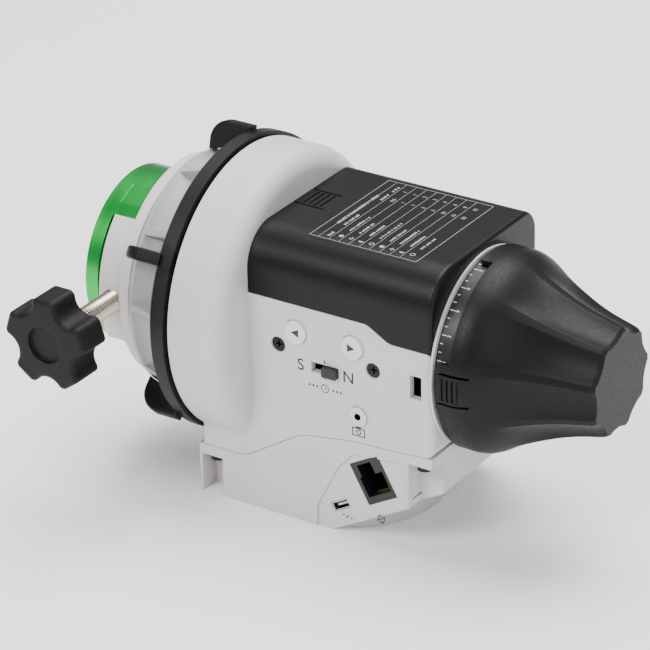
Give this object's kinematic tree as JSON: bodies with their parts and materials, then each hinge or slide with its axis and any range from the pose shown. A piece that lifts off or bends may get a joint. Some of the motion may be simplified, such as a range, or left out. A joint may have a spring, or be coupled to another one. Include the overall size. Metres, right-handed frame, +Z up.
{
  "type": "star tracker head",
  "caption": "motor-driven star tracker head: worm-driven polar axis, camera socket with green adapter and locking knob, clutch ring, battery bay and capped polar scope",
  "frame": {"origin": "centre of the tripod thread, at its mouth on the underside of the base", "axes": "+X along the polar axis from the camera adapter towards the eyepiece; -Y faces the control panel; +Z up, out of the base towards the battery cover"},
  "size_m": [0.2019, 0.1303, 0.1206],
  "materials": {
    "housing_white": "fine-textured powder coat",
    "cover_black": "satin fine-grain moulding",
    "clutch_black": "satin black coat over cast alloy",
    "hub_grey": "fine-textured mid grey coat",
    "adapter_green": "bright green anodised, turned",
    "steel": "turned stainless steel",
    "screw_black": "black oxide steel",
    "brass": "machined brass",
    "aluminium": "machined aluminium",
    "motor_grey": "plated steel can",
    "knob_black": "moulded phenolic, satin",
    "scope_black": "black anodised",
    "glass": "coated optical glass",
    "rubber": "matte rubber",
    "tray_black": "moulded tray",
    "cells": "printed sleeve on steel cans",
    "contacts": "nickel-plated spring steel",
    "board_green": "solder-masked laminate",
    "switch_black": "moulded",
    "button_white": "satin moulding"
  },
  "bodies": {
    "housing": {"main_housing": "housing_white", "base_housing": "housing_white", "battery_tray": "tray_black", "battery_cells": "cells", "battery_contacts": "contacts", "circuit_board": "board_green", "snap_jack": "contacts", "power_socket": "switch_black", "guider_jack": "switch_black", "guider_contacts": "contacts", "slide_switch": "switch_black", "tact_switches": "switch_black", "face_screws": "screw_black", "base_screws": "steel", "front_bearing": "steel", "rear_bearing": "steel", "motor": "motor_grey", "worm_bracket": "aluminium", "worm_bearings": "steel", "tripod_insert": "steel", "mode_switch": "switch_black"},
    "polar_head": {"polar_shaft": "steel", "worm_wheel": "brass", "shaft_nut": "steel", "clutch_disc": "aluminium", "camera_socket": "housing_white", "socket_screws": "screw_black", "scope_tube": "scope_black", "objective_lens": "glass", "reticle": "glass", "eyepiece": "scope_black", "eye_lens": "glass", "eye_cup": "rubber", "time_circle": "scope_black"},
    "clutch": {"clutch_ring": "clutch_black", "clutch_hub": "hub_grey"},
    "camera_adapter": {"adapter": "adapter_green", "adapter_stud": "steel", "adapter_pad": "rubber"},
    "clamp_pad": {"lock_pad": "brass"},
    "locking_knob": {"lock_knob": "knob_black", "lock_screw": "steel"},
    "worm_drive": {"worm": "steel", "worm_gear": "brass"},
    "pinion": {"motor_pinion": "brass"},
    "cap": {"scope_cap": "cover_black"},
    "date_dial": {"date_ring": "scope_black"},
    "focus": {"focus_ring": "scope_black"},
    "left_button": {"button_left": "button_white"},
    "right_button": {"button_right": "button_white"},
    "hemisphere_slider": {"switch_slider": "switch_black"},
    "mode_knob": {"mode_dial": "tray_black"},
    "cover": {"battery_cover": "cover_black"}
  },
  "joints": [
    {"name": "ra_turn", "type": "hinge", "parent": "housing", "child": "polar_head", "pos_m": [-0.041, 0, 0.067], "axis": [1, 0, 0], "continuous": true},
    {"name": "clutch_turn", "type": "hinge", "parent": "polar_head", "child": "clutch", "pos_m": [-0.049, 0, 0.067], "axis": [1, 0, 0], "range_deg": [0, 120]},
    {"name": "adapter_slide", "type": "slide", "parent": "polar_head", "child": "camera_adapter", "axis": [-1, 0, 0], "range_m": [0, 0.03]},
    {"name": "pad_slide", "type": "slide", "parent": "polar_head", "child": "clamp_pad", "axis": [0, -1, 0], "range_m": [0, 0.003]},
    {"name": "knob_turn", "type": "hinge", "parent": "clamp_pad", "child": "locking_knob", "pos_m": [-0.074, -0.05, 0.067], "axis": [0, 1, 0], "range_deg": [0, 865]},
    {"name": "worm_spin", "type": "hinge", "parent": "housing", "child": "worm_drive", "pos_m": [-0.0285, 0, 0.0187], "axis": [0, 1, 0], "continuous": true},
    {"name": "pinion_spin", "type": "hinge", "parent": "housing", "child": "pinion", "pos_m": [-0.01581, 0.02, 0.02332], "axis": [0, 1, 0], "continuous": true},
    {"name": "cap_pull", "type": "slide", "parent": "housing", "child": "cap", "axis": [1, 0, 0], "range_m": [0, 0.06]},
    {"name": "date_turn", "type": "hinge", "parent": "polar_head", "child": "date_dial", "pos_m": [0.058, 0, 0.067], "axis": [1, 0, 0], "continuous": true},
    {"name": "focus_turn", "type": "hinge", "parent": "polar_head", "child": "focus", "pos_m": [0.067, 0, 0.067], "axis": [1, 0, 0], "range_deg": [-180, 180]},
    {"name": "left_press", "type": "slide", "parent": "housing", "child": "left_button", "axis": [0, 1, 0], "range_m": [0, 0.0008], "stiffness_N_per_m": 400, "springref_m": -0.0008},
    {"name": "right_press", "type": "slide", "parent": "housing", "child": "right_button", "axis": [0, 1, 0], "range_m": [0, 0.0008], "stiffness_N_per_m": 400, "springref_m": -0.0008},
    {"name": "hemisphere_slide", "type": "slide", "parent": "housing", "child": "hemisphere_slider", "axis": [-1, 0, 0], "range_m": [0, 0.0048]},
    {"name": "mode_turn", "type": "hinge", "parent": "housing", "child": "mode_knob", "pos_m": [0.017, 0.036, 0.061], "axis": [0, 1, 0], "range_deg": [0, 240]},
    {"name": "cover_lift", "type": "slide", "parent": "housing", "child": "cover", "axis": [0, 0, 1], "range_m": [0, 0.06]}
  ],
  "couplings": [
    {"joint": "worm_spin", "follows": "ra_turn", "ratio": -144},
    {"joint": "pinion_spin", "follows": "ra_turn", "ratio": 288},
    {"joint": "knob_turn", "follows": "pad_slide", "rad_per_m": 5026.5}
  ]
}
